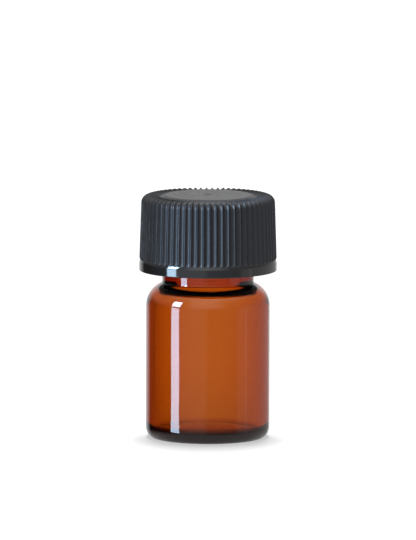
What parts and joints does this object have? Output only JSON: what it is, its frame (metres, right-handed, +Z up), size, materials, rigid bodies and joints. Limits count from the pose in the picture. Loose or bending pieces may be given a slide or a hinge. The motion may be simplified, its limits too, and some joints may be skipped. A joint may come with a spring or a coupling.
{
  "type": "glass sample vial",
  "caption": "Small amber glass sample vial with a straight body, rounded shoulder and threaded neck, closed by a black fluted screw cap with a foam liner.",
  "frame": {"origin": "centre of the ring that the vial stands on", "axes": "+Z up along the axis of the vial, through the neck and cap; the neck thread starts a little left of -Y"},
  "size_m": [0.0168, 0.0168, 0.0298],
  "materials": {
    "amber_glass": "clear amber glass, fire polished, transparent",
    "black_cap_plastic": "satin black moulded plastic, glossier on the band",
    "white_liner_foam": "matte white closed-cell foam"
  },
  "bodies": {
    "vial": {"vial_glass": "amber_glass"},
    "liner": {"cap_liner": "white_liner_foam"},
    "cap": {"screw_cap": "black_cap_plastic"}
  },
  "joints": [
    {"name": "cap_lift", "type": "slide", "parent": "vial", "child": "liner", "axis": [0, 0, 1], "range_m": [0, 0.00741]},
    {"name": "cap_turn", "type": "hinge", "parent": "liner", "child": "cap", "pos_m": [0, 0, 0.0275], "axis": [0, 0, 1], "range_deg": [0, 1260]}
  ],
  "couplings": [
    {"joint": "cap_turn", "follows": "cap_lift", "rad_per_m": 2968}
  ]
}
